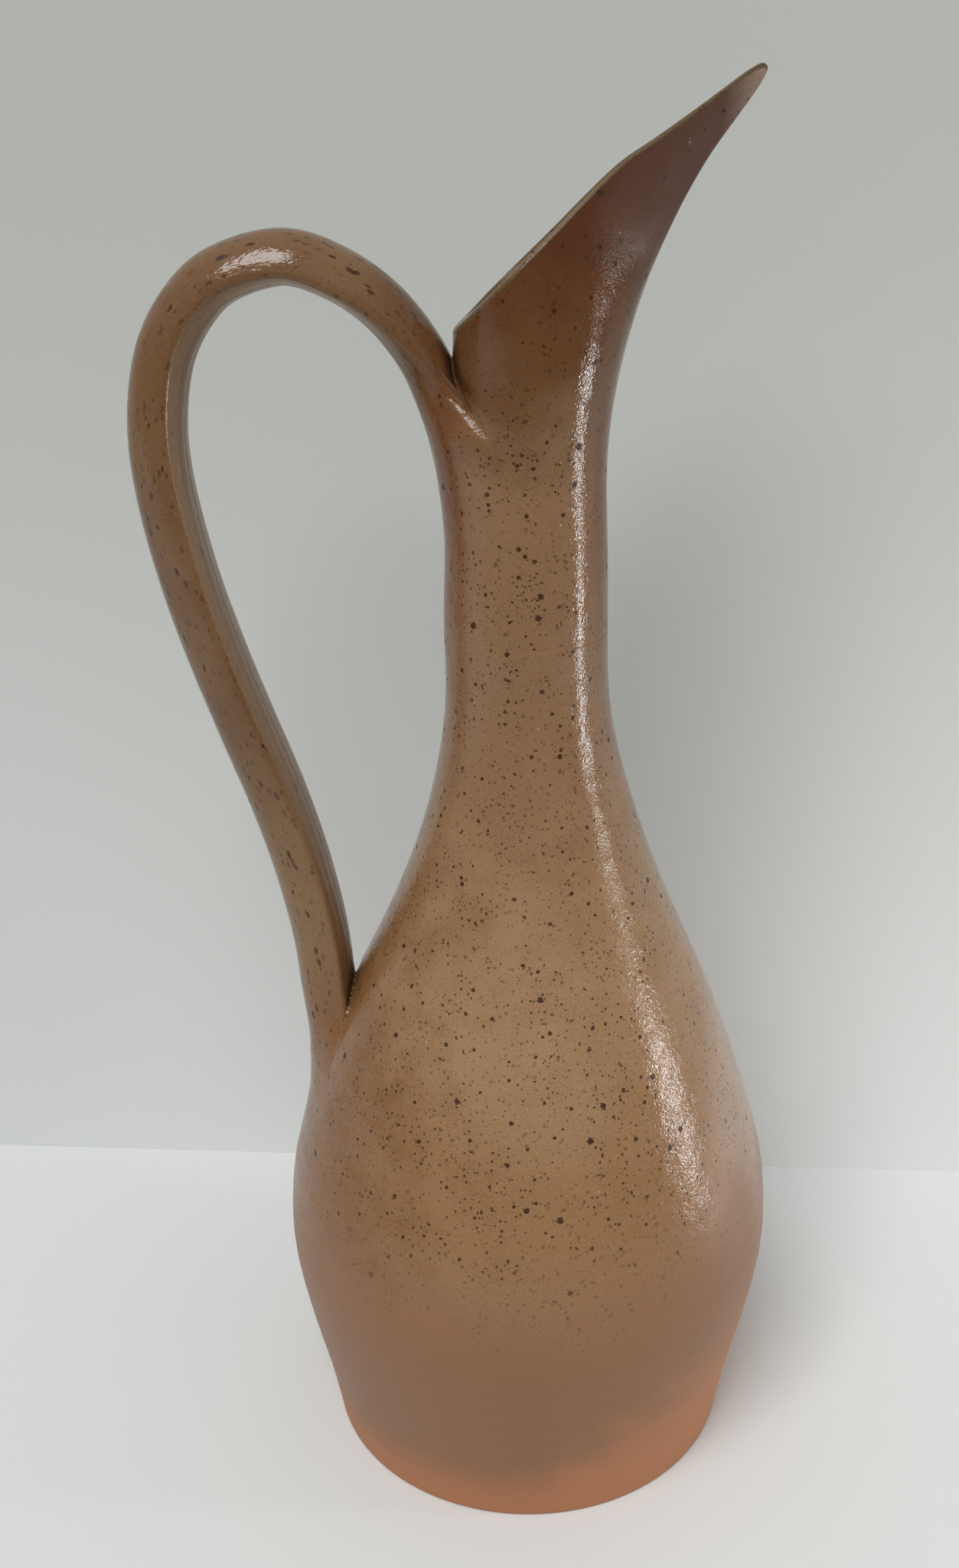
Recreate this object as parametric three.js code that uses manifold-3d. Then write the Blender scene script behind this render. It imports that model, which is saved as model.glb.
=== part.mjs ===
import * as THREE from 'three';
import { mergeVertices } from 'three/addons/utils/BufferGeometryUtils.js';
import Module from 'manifold-3d';

// A salt-glazed stoneware jug: a turned body, a neck that flares into a slant-cut beak, and a high
// loop handle, luted together with thin layers of slip. Millimetres, +Z up. The origin is the centre
// of the base, +X points to the beak, and the handle stands on the -X side.

// Sizes of the body
const FOOT_RADIUS = 61.7;
const FOOT_CHAMFER = 1.2;
const BELLY_RADIUS = 74.2;
const BELLY_HEIGHT = 71;
const BODY_HEIGHT = 258;
const FLOOR_THICKNESS = 8;
const FLOOR_CORNER = 7;
const WALL = 4.6;

// Sizes of the neck and its beaked mouth
const NECK_RADIUS = 22.65;
const NECK_HEIGHT = 142;
const BEAK_REACH = 36.6;
const MOUTH_HALF_WIDTH = 25.2;
const BEAK_HALF_WIDTH = 19.3;
const BACK_DRAWN_IN = 3.25;
const LIP_THICKNESS = 3.4;
const RIM_FALL = 62;
const RIM_TIP_INSET = 0.5;
const BORE_SHARPENING = 1.4;

// Sizes of the handle
const HANDLE_REACH = 73;
const HANDLE_HALF_WIDTH = 12;
const HANDLE_THICKNESS = 16.1;
const ARCH_THICKNESS = 13.5;
const WING_HALF_WIDTH = 20;
const LEAST_FACE_DEPTH = 1;
const TAIL_HEIGHT = 150;
const TOP_JOINT_DROP = 1.4;

// The luted joints
const JOINT_BEVEL = Math.PI / 4;
const SLIP_THICKNESS = 0.8;
const CLEARANCE = 0.3;

// Fineness of the faceted surfaces
const ROUND_STEPS = 48;
const BELLY_STEPS = 7;
const SHOULDER_STEPS = 17;
const NECK_STEPS = 24;
const HANDLE_STEPS = 54;
const OUTER_FACE_STEPS = 12;
const INNER_FACE_STEPS = 6;
const RIM_STEPS_PER_KNOT = 4;
const SLOPE_STEP = 1;

// Body outline from foot to belly: share of the belly's height, share of the way out to its radius
const LOWER_CURVE = [[0, 0], [0.28, 0.28], [0.56, 0.64], [0.85, 0.944], [1, 1]];

// Body outline from belly to neck: share of the way up, share of the way in to the neck's radius
const UPPER_CURVE = [
  [0, 0], [0.1, 0.035], [0.21, 0.148], [0.315, 0.276], [0.422, 0.429], [0.53, 0.61],
  [0.636, 0.767], [0.743, 0.891], [0.85, 0.977], [0.93, 1.002], [1, 1],
];

// Neck outline in front: share of the neck's height, share of the beak's reach
const FRONT_CURVE = [
  [0, 0], [0.16, -0.012], [0.296, -0.04], [0.366, -0.034], [0.437, -0.004], [0.507, 0.045],
  [0.577, 0.116], [0.648, 0.206], [0.718, 0.321], [0.789, 0.454], [0.859, 0.613], [0.9, 0.727],
  [0.94, 0.842], [0.968, 0.92], [0.985, 0.96], [1, 0.981], [1.04, 0.99],
];

// Neck outline at the back: share of the neck's height, share of how far the back is drawn in
const BACK_CURVE = [[0, 0], [0.296, 0.5], [0.437, 0.75], [0.556, 1], [1.04, 1]];

// Neck's half-width: share of the neck's height, share of the way to the mouth's half-width
const SIDE_CURVE = [[0, 0], [0.296, -0.49], [0.437, 0.22], [0.577, 1], [1.04, 1]];

// Beak's half-width: share of the neck's height, share of the way from mouth width to beak width
const TAPER_CURVE = [[0, 0], [0.58, 0], [0.683, 0.05], [0.789, 0.49], [0.894, 0.88], [1.04, 1]];

// Egg shape of the neck's level cuts: share of the neck's height, and how much narrower a cut is in
// front than behind, as a share of its width in the middle
const POINT_CURVE = [
  [0, 0], [0.44, 0], [0.5, 0], [0.6, 0.2], [0.7, 0.42], [0.8, 0.45], [0.9, 0.4], [1.04, 0.35],
];

// Cut of the rim seen from the side: share of the run from back to tip, share of the rise
const RIM_CURVE = [
  [-0.2, -0.2], [0, 0], [0.123, 0.145], [0.3, 0.355], [0.526, 0.629], [0.657, 0.742], [0.79, 0.857],
  [0.887, 0.944], [0.94, 0.992], [0.972, 1.013], [1, 1.003], [1.1, 0.9],
];

// Handle's middle line: share of the chord between its two joints, share of its reach off that chord
const HANDLE_LINE = [
  [-0.285, 0.001], [-0.188, 0.006], [-0.105, 0.041], [-0.014, 0.106], [0.072, 0.169], [0.178, 0.276],
  [0.282, 0.406], [0.384, 0.553], [0.488, 0.698], [0.597, 0.833], [0.715, 0.947], [0.813, 1],
  [0.912, 0.991], [0.99, 0.906], [1.033, 0.79], [1.061, 0.61], [1.051, 0.425], [1.022, 0.263],
  [0.975, 0.121], [0.922, 0.021], [0.843, -0.084], [0.752, -0.16], [0.69, -0.198],
];

// Along the handle from tail to neck: share of its length, share of the change from leg to arch
const THICKNESS_CURVE = [[0, 0], [0.25, 0.02], [0.45, 0.2], [0.63, 0.25], [0.7, 0.55], [0.81, 1], [1, 1]];

// Along the handle: share of its length, share of the change from strap width to wing width
const WIDTH_CURVE = [
  [0, 0.15], [0.15, 0], [0.8, 0], [0.87, 0.1], [0.89, 0.5], [0.91, 0.95], [0.93, 1], [1, 1],
];

// Along the handle: share of its length, and how deep the inner face bulges past the edges,
// as a share of the thickness there
const INNER_BULGE_CURVE = [
  [0, 0.14], [0.5, 0.13], [0.66, 0.3], [0.78, 0.22], [0.84, 0.44], [0.88, 0.91], [0.9, 1.16],
  [0.92, 1.42], [1, 1.5],
];

// Where the wing begins to wrap round the neck and where it is fully round, along the handle
const WING_START = 0.8;
const WING_FULL = 0.92;

// Power that rounds the inner face: full for a hollow that leaves the edges level, half for an oval
const STRAP_ROUNDNESS = 1;
const WING_ROUNDNESS = 0.5;

const manifoldModule = await Module();
manifoldModule.setup();

// Smooth value between knots: cubic pieces whose slope at a knot is that of its two neighbours
function smooth(knots, at) {
  const last = knots.length - 1;
  let k = knots.findIndex((knot) => knot[0] > at) - 1;
  if (k < -1 || at >= knots[last][0]) k = last - 1;
  k = Math.max(0, k);
  const slope = (i) => {
    const low = knots[Math.max(0, i - 1)];
    const high = knots[Math.min(last, i + 1)];
    return (high[1] - low[1]) / (high[0] - low[0]);
  };
  const span = knots[k + 1][0] - knots[k][0];
  const t = THREE.MathUtils.clamp((at - knots[k][0]) / span, 0, 1);
  const start = knots[k][1] * (1 + 2 * t) * (1 - t) ** 2 + slope(k) * span * t * (1 - t) ** 2;
  const end = knots[k + 1][1] * t * t * (3 - 2 * t) - slope(k + 1) * span * t * t * (1 - t);
  return start + end;
}

// How much longer a level cut through a wall is than the wall is thick, where its outline leans
function lean(outline, height) {
  const change = outline(height + SLOPE_STEP) - outline(height - SLOPE_STEP);
  return Math.hypot(1, change / (2 * SLOPE_STEP));
}

// Outer radius of the turned body at a height
function bodyRadius(height) {
  if (height < BELLY_HEIGHT) {
    const out = smooth(LOWER_CURVE, height / BELLY_HEIGHT);
    return THREE.MathUtils.lerp(FOOT_RADIUS, BELLY_RADIUS, out);
  }
  const inward = smooth(UPPER_CURVE, (height - BELLY_HEIGHT) / (BODY_HEIGHT - BELLY_HEIGHT));
  return THREE.MathUtils.lerp(BELLY_RADIUS, NECK_RADIUS, inward);
}

// Share of the neck's height at a height over the base
const neckShare = (height) => (height - BODY_HEIGHT) / NECK_HEIGHT;
const neckFront = (height) => NECK_RADIUS + BEAK_REACH * smooth(FRONT_CURVE, neckShare(height));
const neckBack = (height) => NECK_RADIUS - BACK_DRAWN_IN * smooth(BACK_CURVE, neckShare(height));
const neckSide = (height) => {
  const mouth = (MOUTH_HALF_WIDTH - NECK_RADIUS) * smooth(SIDE_CURVE, neckShare(height));
  const beak = (BEAK_HALF_WIDTH - MOUTH_HALF_WIDTH) * smooth(TAPER_CURVE, neckShare(height));
  return NECK_RADIUS + mouth + beak;
};

// Greatest value of sin(t) * (1 - point * cos(t)), which keeps an egg-shaped ring at its full width
function eggWidth(point) {
  const widest = (-2 * point) / (1 + Math.sqrt(1 + 8 * point * point));
  return Math.sqrt(1 - widest * widest) * (1 - point * widest);
}

// One level ring of the neck, an egg that lies between front and back, grown by a distance
function neckRing(height, grow, sharpening = 1) {
  const point = sharpening * smooth(POINT_CURVE, neckShare(height));
  const front = neckFront(height) + grow * lean(neckFront, height);
  const back = neckBack(height) + grow * lean(neckBack, height);
  const side = neckSide(height) + grow * lean(neckSide, height);
  const ring = [];
  for (let i = 0; i < ROUND_STEPS; i += 1) {
    const turn = (2 * Math.PI * i) / ROUND_STEPS;
    const x = (front - back) / 2 + ((front + back) / 2) * Math.cos(turn);
    const y = (side * Math.sin(turn) * (1 - point * Math.cos(turn))) / eggWidth(point);
    ring.push(new THREE.Vector3(x, y, height));
  }
  return ring;
}

// Skin over a row of rings that run up the outside; a looped row closes on its first ring,
// any other row is closed by a flat end on each side
function skin(rings, looped) {
  const count = rings[0].length;
  const points = rings.flat();
  const faces = [];
  const rows = looped ? rings.length : rings.length - 1;
  for (let j = 0; j < rows; j += 1) {
    const low = j * count;
    const high = ((j + 1) % rings.length) * count;
    for (let i = 0; i < count; i += 1) {
      const next = (i + 1) % count;
      faces.push(low + i, low + next, high + next);
      faces.push(low + i, high + next, high + i);
    }
  }
  if (!looped) {
    const first = rings[0].reduce((sum, p) => sum.add(p), new THREE.Vector3()).divideScalar(count);
    const final = rings.at(-1).reduce((sum, p) => sum.add(p), new THREE.Vector3()).divideScalar(count);
    const base = points.length;
    const top = (rings.length - 1) * count;
    points.push(first, final);
    for (let i = 0; i < count; i += 1) {
      const next = (i + 1) % count;
      faces.push(base, next, i);
      faces.push(base + 1, top + i, top + next);
    }
  }
  const geometry = new THREE.BufferGeometry().setFromPoints(points);
  geometry.setIndex(faces);
  return geometry;
}

// Turned surface: the profile runs up the outside and back down the inside
function turned(profile) {
  const points = profile.map(([radius, height]) => new THREE.Vector2(radius, height));
  return new THREE.LatheGeometry(points, ROUND_STEPS).rotateX(Math.PI / 2);
}

// Closed mesh as a solid that can be cut and joined
function solid(geometry) {
  const bare = geometry.clone();
  bare.deleteAttribute('normal');
  bare.deleteAttribute('uv');
  const merged = mergeVertices(bare);
  return new manifoldModule.Manifold(new manifoldModule.Mesh({
    numProp: 3,
    vertProperties: new Float32Array(merged.attributes.position.array),
    triVerts: new Uint32Array(merged.index.array),
  }));
}

// Surface of a solid
function surface(body) {
  const mesh = body.getMesh();
  const geometry = new THREE.BufferGeometry();
  geometry.setAttribute('position', new THREE.BufferAttribute(mesh.vertProperties, 3));
  geometry.setIndex(new THREE.BufferAttribute(mesh.triVerts, 1));
  geometry.computeVertexNormals();
  return geometry;
}

// Evenly spaced heights from one to another, both ends included
function levels(from, to, steps) {
  return Array.from({ length: steps + 1 }, (_, i) => THREE.MathUtils.lerp(from, to, i / steps));
}

// Heights up the wall of the body, with one at the widest part of the belly
function wallLevels(from, to) {
  const shoulder = levels(BELLY_HEIGHT, to, SHOULDER_STEPS);
  return [...levels(from, BELLY_HEIGHT, BELLY_STEPS), ...shoulder.slice(1)];
}

// The bevelled joint: its faces are cones that rise towards the inside, so the neck centres itself
const jointRise = WALL * Math.tan(JOINT_BEVEL);
const jointGap = CLEARANCE / Math.cos(JOINT_BEVEL);
const jointSlip = SLIP_THICKNESS / Math.cos(JOINT_BEVEL);
const bodyTop = BODY_HEIGHT - jointGap - jointSlip / 2;
const neckBottom = BODY_HEIGHT + jointGap + jointSlip / 2;

function makeBody() {
  const inside = (height) => bodyRadius(height) - WALL * lean(bodyRadius, height);
  const profile = [[0, 0], [FOOT_RADIUS - FOOT_CHAMFER, 0]];
  for (const height of wallLevels(FOOT_CHAMFER, bodyTop)) profile.push([bodyRadius(height), height]);
  const floorEdge = FLOOR_THICKNESS + FLOOR_CORNER;
  profile.push([bodyRadius(bodyTop) - WALL, bodyTop + jointRise]);
  const down = wallLevels(floorEdge, bodyTop).reverse();
  for (const height of down) profile.push([inside(height), height]);
  profile.push([inside(floorEdge) - FLOOR_CORNER, FLOOR_THICKNESS], [0, FLOOR_THICKNESS]);
  return solid(turned(profile));
}

function makeNeckSlip() {
  const low = bodyTop + jointGap;
  const high = neckBottom - jointGap;
  const outer = bodyRadius(low);
  const inner = outer - WALL;
  const start = [outer, low];
  return solid(turned([start, [outer, high], [inner, high + jointRise], [inner, low + jointRise], start]));
}

// Solid block of all that lies over the slanting rim
function aboveRim() {
  const backX = -neckBack(BODY_HEIGHT + NECK_HEIGHT - RIM_FALL);
  const tipX = NECK_RADIUS + BEAK_REACH - RIM_TIP_INSET;
  const low = BODY_HEIGHT + NECK_HEIGHT - RIM_FALL;
  const knots = RIM_CURVE.map(([run, rise]) => new THREE.Vector2(
    THREE.MathUtils.lerp(backX, tipX, run),
    low + RIM_FALL * rise,
  ));
  const line = new THREE.SplineCurve(knots).getPoints(knots.length * RIM_STEPS_PER_KNOT);
  const ceiling = low + 2 * RIM_FALL;
  const outline = new THREE.Shape([
    ...line,
    new THREE.Vector2(line.at(-1).x, ceiling),
    new THREE.Vector2(line[0].x, ceiling),
  ]);
  const depth = 4 * MOUTH_HALF_WIDTH;
  const block = new THREE.ExtrudeGeometry(outline, { depth, bevelEnabled: false });
  block.translate(0, 0, -depth / 2);
  block.rotateX(Math.PI / 2);
  return solid(block);
}

function makeNeck() {
  const top = BODY_HEIGHT + NECK_HEIGHT * FRONT_CURVE.at(-1)[0];
  const wallAt = (height) => {
    const share = THREE.MathUtils.clamp(neckShare(height), 0, 1);
    return THREE.MathUtils.lerp(WALL, LIP_THICKNESS, share);
  };
  const outside = levels(neckBottom, top, NECK_STEPS).map((height) => neckRing(height, 0));
  const insideLevels = levels(top, neckBottom + jointRise, NECK_STEPS);
  const inside = insideLevels.map((height) => neckRing(height, -wallAt(height), BORE_SHARPENING));
  return solid(skin([...outside, ...inside], true)).subtract(aboveRim());
}

// Filled shape of the body or the neck, grown by a distance, that the handle is set against
function filledBody(grow) {
  const profile = [[0, 0]];
  const up = wallLevels(FOOT_CHAMFER, BODY_HEIGHT);
  for (const height of up) profile.push([bodyRadius(height) + grow * lean(bodyRadius, height), height]);
  profile.push([0, BODY_HEIGHT]);
  return solid(turned(profile));
}

function filledNeck(grow) {
  const top = BODY_HEIGHT + NECK_HEIGHT * FRONT_CURVE.at(-1)[0];
  return solid(skin(levels(neckBottom, top, NECK_STEPS).map((height) => neckRing(height, grow)), false));
}

// One cross-section of the strap: a deep round outer face and a shallow inner face, meeting in two
// edges. Where the strap wraps the neck the inner face turns fully round.
function strapSection(centre, outward, share) {
  const leanToArch = smooth(THICKNESS_CURVE, share);
  const thickness = THREE.MathUtils.lerp(HANDLE_THICKNESS, ARCH_THICKNESS, leanToArch);
  const halfWidth = THREE.MathUtils.lerp(HANDLE_HALF_WIDTH, WING_HALF_WIDTH, smooth(WIDTH_CURVE, share));
  const bulge = thickness * smooth(INNER_BULGE_CURVE, share);
  const wrap = THREE.MathUtils.smoothstep(share, WING_START, WING_FULL);
  const roundness = THREE.MathUtils.lerp(STRAP_ROUNDNESS, WING_ROUNDNESS, wrap);
  const edge = bulge - thickness / 2;
  const faceDepth = Math.max(thickness - bulge, LEAST_FACE_DEPTH);
  const ring = [];
  for (let i = 0; i < OUTER_FACE_STEPS; i += 1) {
    const turn = (Math.PI * i) / OUTER_FACE_STEPS;
    ring.push([halfWidth * Math.cos(turn), edge + faceDepth * Math.sin(turn)]);
  }
  for (let i = 0; i < INNER_FACE_STEPS; i += 1) {
    const turn = (Math.PI * i) / INNER_FACE_STEPS;
    ring.push([-halfWidth * Math.cos(turn), edge - bulge * (Math.sin(turn) ** 2) ** roundness]);
  }
  return ring.map(([across, out]) => new THREE.Vector3(
    centre.x + outward.x * out,
    across,
    centre.y + outward.y * out,
  ));
}

function makeStrap() {
  const tail = new THREE.Vector2(-bodyRadius(TAIL_HEIGHT), TAIL_HEIGHT);
  const topHeight = BODY_HEIGHT + NECK_HEIGHT - RIM_FALL - TOP_JOINT_DROP;
  const head = new THREE.Vector2(-neckBack(topHeight), topHeight);
  const chord = head.clone().sub(tail);
  const off = new THREE.Vector2(-chord.y, chord.x).normalize();
  const knots = HANDLE_LINE.map(([along, out]) => (
    tail.clone().addScaledVector(chord, along).addScaledVector(off, out * HANDLE_REACH)
  ));
  const line = new THREE.SplineCurve(knots);
  const rings = levels(0, 1, HANDLE_STEPS).map((share) => {
    const tangent = line.getTangentAt(share);
    return strapSection(line.getPointAt(share), new THREE.Vector2(-tangent.y, tangent.x), share);
  });
  return solid(skin(rings, false));
}

const strap = makeStrap();
const setOff = 2 * CLEARANCE + SLIP_THICKNESS;
const slipOuter = CLEARANCE + SLIP_THICKNESS;
const handleSolid = strap.subtract(filledNeck(setOff)).subtract(filledBody(setOff));
const topSlip = filledNeck(slipOuter).subtract(filledNeck(CLEARANCE)).intersect(strap);
const tailSlip = filledBody(slipOuter).subtract(filledBody(CLEARANCE)).intersect(strap);

const glaze = new THREE.MeshStandardMaterial({ color: 0x8a6248, roughness: 0.28, metalness: 0 });
const slip = new THREE.MeshStandardMaterial({ color: 0x7a5238, roughness: 0.6, metalness: 0 });

const jug = new THREE.Group();
const pieces = [
  ['body', makeBody(), glaze],
  ['neck', makeNeck(), glaze],
  ['handle', handleSolid, glaze],
  ['neck_joint_slip', makeNeckSlip(), slip],
  ['handle_top_slip', topSlip, slip],
  ['handle_tail_slip', tailSlip, slip],
];
for (const [name, body, material] of pieces) {
  const mesh = new THREE.Mesh(surface(body), material);
  mesh.name = name;
  jug.add(mesh);
}

export default jug;
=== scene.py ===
"""A salt-glazed stoneware jug: its finish and fine surfaces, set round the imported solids.

A turned body stands on a wide foot, its neck flares into a slant-cut beak, and a high strap handle
loops from the belly to the back of the rim. Every size is in millimetres until a mesh is made, and
every surface is worked out as a grid of points, with the formula in the words of its docstring.
"""

from __future__ import annotations

import logging
import math
from dataclasses import dataclass
from enum import Enum
from typing import Any

import bpy
import numpy as np
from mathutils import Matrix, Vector

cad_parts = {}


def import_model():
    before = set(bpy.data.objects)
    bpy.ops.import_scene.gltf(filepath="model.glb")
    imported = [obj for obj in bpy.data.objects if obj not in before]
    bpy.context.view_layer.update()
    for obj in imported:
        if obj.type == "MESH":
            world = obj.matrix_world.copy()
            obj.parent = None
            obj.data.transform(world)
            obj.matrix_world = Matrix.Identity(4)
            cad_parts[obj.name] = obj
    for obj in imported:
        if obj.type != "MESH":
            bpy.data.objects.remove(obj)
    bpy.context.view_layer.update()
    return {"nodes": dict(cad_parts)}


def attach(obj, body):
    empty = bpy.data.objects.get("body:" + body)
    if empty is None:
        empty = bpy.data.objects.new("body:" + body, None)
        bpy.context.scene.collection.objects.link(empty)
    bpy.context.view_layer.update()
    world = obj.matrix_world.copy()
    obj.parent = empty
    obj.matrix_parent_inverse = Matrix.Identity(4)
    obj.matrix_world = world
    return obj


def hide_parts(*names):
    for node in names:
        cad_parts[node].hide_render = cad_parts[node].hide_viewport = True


Array = np.ndarray
Colour = tuple[float, float, float]
Place = tuple[float, float, float]
Knots = tuple[tuple[float, float], ...]

LOG = logging.getLogger("jug")
METRE = 0.001
BODY_OF_ALL = "root"
FLOW = "glaze_flow"
MARKS = "glaze_marks"


class Slot(Enum):
    """Material slots of the record."""

    GLAZE = "salt_glaze"
    SLIP = "fired_slip"


def tint(red: int, green: int, blue: int) -> Colour:
    """Linear colour that shaders use for a screen colour of 0 to 255 each."""
    screen = np.array([red, green, blue]) / 255
    linear = np.where(screen <= 0.04045, screen / 12.92, ((screen + 0.055) / 1.055) ** 2.4)
    return tuple(float(c) for c in linear)


def rise(value: Array, low: float, high: float) -> Array:
    """Smooth step: 0 at low, 1 at high, level at both ends; high may be the smaller one."""
    share = np.clip((value - low) / (high - low), 0, 1)
    return share * share * (3 - 2 * share)


def between(low: Array | float, high: Array | float, share: Array | float) -> Array:
    """Value that lies a share of the way from low to high."""
    return low + (high - low) * share


def unit(vectors: Array) -> Array:
    """Vectors of length 1 that point the same way."""
    return vectors / np.linalg.norm(vectors, axis=-1, keepdims=True)


def full_turn(count: int) -> Array:
    """Angles at even steps once round."""
    return np.linspace(0, 2 * np.pi, count, endpoint=False)


def crossing(steps: Array, values: Array) -> Array:
    """Where each column of values first falls under nought, in a straight line between two rows.

    Args:
        steps: the step of each row.
        values: rows by columns.

    Returns:
        The step for each column; the last one where a column stays over nought.
    """
    column = np.arange(values.shape[1])
    k = np.where(values.min(axis=0) < 0, np.argmax(values < 0, axis=0), len(steps) - 1)
    before, after = values[k - 1, column], values[k, column]
    return between(steps[k - 1], steps[k], np.clip(before / (before - after), 0, 1))


@dataclass(frozen=True)
class Curve:
    """Smooth line through knots, each a place along the line and a value."""

    knots: Knots

    def at(self, place: Array) -> Array:
        """Cubic pieces between the knots, whose slope at a knot is that of its two neighbours.

        Args:
            place: places along the line.

        Returns:
            The values there, level beyond both ends.
        """
        along, value = np.array(self.knots, float).T
        last = len(along) - 1
        low = np.maximum(np.arange(last + 1) - 1, 0)
        high = np.minimum(np.arange(last + 1) + 1, last)
        slope = (value[high] - value[low]) / (along[high] - along[low])
        k = np.clip(np.searchsorted(along, place, side="right") - 1, 0, last - 1)
        span = along[k + 1] - along[k]
        t = np.clip((place - along[k]) / span, 0, 1)
        start = value[k] * (1 + 2 * t) * (1 - t) ** 2 + slope[k] * span * t * (1 - t) ** 2
        end = value[k + 1] * t * t * (3 - 2 * t) - slope[k + 1] * span * t * t * (1 - t)
        return start + end


def egg_width(point: Array) -> Array:
    """Greatest value of sin(t) * (1 - point * cos(t)), by which the width of an egg is divided."""
    widest = -2 * point / (1 + np.sqrt(1 + 8 * point * point))
    return np.sqrt(1 - widest**2) * (1 - point * widest)


def even_curve(values: list[float]) -> Curve:
    """Curve through values at the whole numbers 0, 1, 2 and so on."""
    return Curve(tuple((float(i), value) for i, value in enumerate(values)))


@dataclass
class JugForm:
    """The outer form of body and neck: at each height a level egg between front and back."""

    foot_radius: float = 61.7
    belly_radius: float = 74.2
    belly_height: float = 71.0
    body_height: float = 258.0
    neck_radius: float = 22.65
    neck_height: float = 142.0
    beak_reach: float = 36.6
    mouth_half_width: float = 25.2
    beak_half_width: float = 19.3
    back_drawn_in: float = 3.25
    rim_fall: float = 62.0
    rim_tip_inset: float = 0.5
    rim_skew: float = -0.055
    wall: float = 4.6
    lip: float = 3.4
    bore_sharpening: float = 1.4
    blur: float = 4.5
    beak_blur: float = 1.5
    step: float = 0.5
    top_share: float = 1.04
    rim_search: float = 8.0
    rim_steps: int = 500
    columns: int = 224
    crowding: float = 0.5

    lower: Curve = Curve(((0, 0), (0.28, 0.28), (0.56, 0.64), (0.85, 0.944), (1, 1)))
    upper: Curve = Curve((
        (0, 0), (0.1, 0.035), (0.21, 0.148), (0.315, 0.276), (0.422, 0.429), (0.53, 0.61),
        (0.636, 0.767), (0.743, 0.891), (0.85, 0.977), (0.93, 1.002), (1, 1),
    ))
    front: Curve = Curve((
        (0, 0), (0.16, -0.012), (0.296, -0.04), (0.366, -0.034), (0.437, -0.004), (0.507, 0.045),
        (0.577, 0.116), (0.648, 0.206), (0.718, 0.321), (0.789, 0.454), (0.859, 0.613), (0.9, 0.727),
        (0.94, 0.842), (0.968, 0.92), (0.985, 0.96), (1, 0.981), (1.04, 0.99),
    ))
    back: Curve = Curve(((0, 0), (0.296, 0.5), (0.437, 0.75), (0.556, 1), (1.04, 1)))
    side: Curve = Curve(((0, 0), (0.296, -0.49), (0.437, 0.22), (0.577, 1), (1.04, 1)))
    taper: Curve = Curve(((0, 0), (0.58, 0), (0.683, 0.05), (0.789, 0.49), (0.894, 0.88), (1.04, 1)))
    pointing: Curve = Curve((
        (0, 0), (0.44, 0), (0.5, 0), (0.6, 0.2), (0.7, 0.42), (0.8, 0.45), (0.9, 0.4), (1.04, 0.35),
    ))
    rim: Knots = (
        (-0.2, -0.2), (0, 0), (0.123, 0.145), (0.3, 0.355), (0.526, 0.629), (0.657, 0.742),
        (0.79, 0.857), (0.887, 0.944), (0.94, 0.992), (0.972, 1.013), (1, 1.003), (1.1, 0.9),
    )
    lean_of_axis: Curve = Curve((
        (0, 0), (100, 0), (140, 0.35), (170, 0.9), (200, 0.9), (230, 0), (258, -0.7), (280, -0.7),
        (310, -0.2), (335, 0), (420, 0),
    ))

    def __post_init__(self) -> None:
        """Work out front, back and side at fine steps of height, and soften them."""
        top = self.body_height + self.neck_height * self.top_share
        self.levels = np.arange(0, top + self.step, self.step)
        share = (self.levels - self.body_height) / self.neck_height
        above = self.levels > self.body_height
        mouth = (self.mouth_half_width - self.neck_radius) * self.side.at(share)
        beak = (self.beak_half_width - self.mouth_half_width) * self.taper.at(share)
        body = self._body_radius(self.levels)
        front = np.where(above, self.neck_radius + self.beak_reach * self.front.at(share), body)
        back = np.where(above, self.neck_radius - self.back_drawn_in * self.back.at(share), body)
        side = np.where(above, self.neck_radius + mouth + beak, body)
        crisp = rise(self.levels, top - 60, top - 25)
        self.lines = [
            between(self._soften(line, self.blur), self._soften(line, self.beak_blur), crisp)
            for line in (front, back, side)
        ]
        self.leans = [np.hypot(1, np.gradient(line, self.step)) for line in self.lines]
        self.eggs = self._soften(self.pointing.at(share), self.blur)

    def _body_radius(self, height: Array) -> Array:
        """Radius of the turned body: foot to belly by one curve, belly to neck by another."""
        out = self.lower.at(height / self.belly_height)
        inward = self.upper.at((height - self.belly_height) / (self.body_height - self.belly_height))
        low = between(self.foot_radius, self.belly_radius, out)
        high = between(self.belly_radius, self.neck_radius, inward)
        return np.where(height < self.belly_height, low, high)

    def _soften(self, line: Array, blur: float) -> Array:
        """Average a line with a bell-shaped weight, mirrored about its ends so that they stay."""
        reach = int(3 * blur / self.step)
        offset = np.arange(-reach, reach + 1) * self.step
        weight = np.exp(-0.5 * (offset / blur) ** 2)
        padded = np.pad(line, reach, mode="reflect", reflect_type="odd")
        return np.convolve(padded, weight / weight.sum(), mode="valid")

    def oval(self, height: Array, grow: Array | float = 0.0) -> tuple[Array, Array, Array]:
        """Oval at each height; its ends move out by the growth times how much a level cut lengthens.

        Args:
            height: heights over the base.
            grow: distance that the wall is moved out by, or in where it is negative.

        Returns:
            The centre along x, the half length along x and the half width along y.
        """
        front, back, side = (
            np.interp(height, self.levels, line) + grow * np.interp(height, self.levels, lean)
            for line, lean in zip(self.lines, self.leans)
        )
        return (front - back) / 2 + self.lean_of_axis.at(height), (front + back) / 2, side

    def turns(self) -> Array:
        """Angles round the axis, each a + crowding * sin(a), so that they crowd by the handle."""
        even = full_turn(self.columns)
        return even + self.crowding * np.sin(even)

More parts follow.
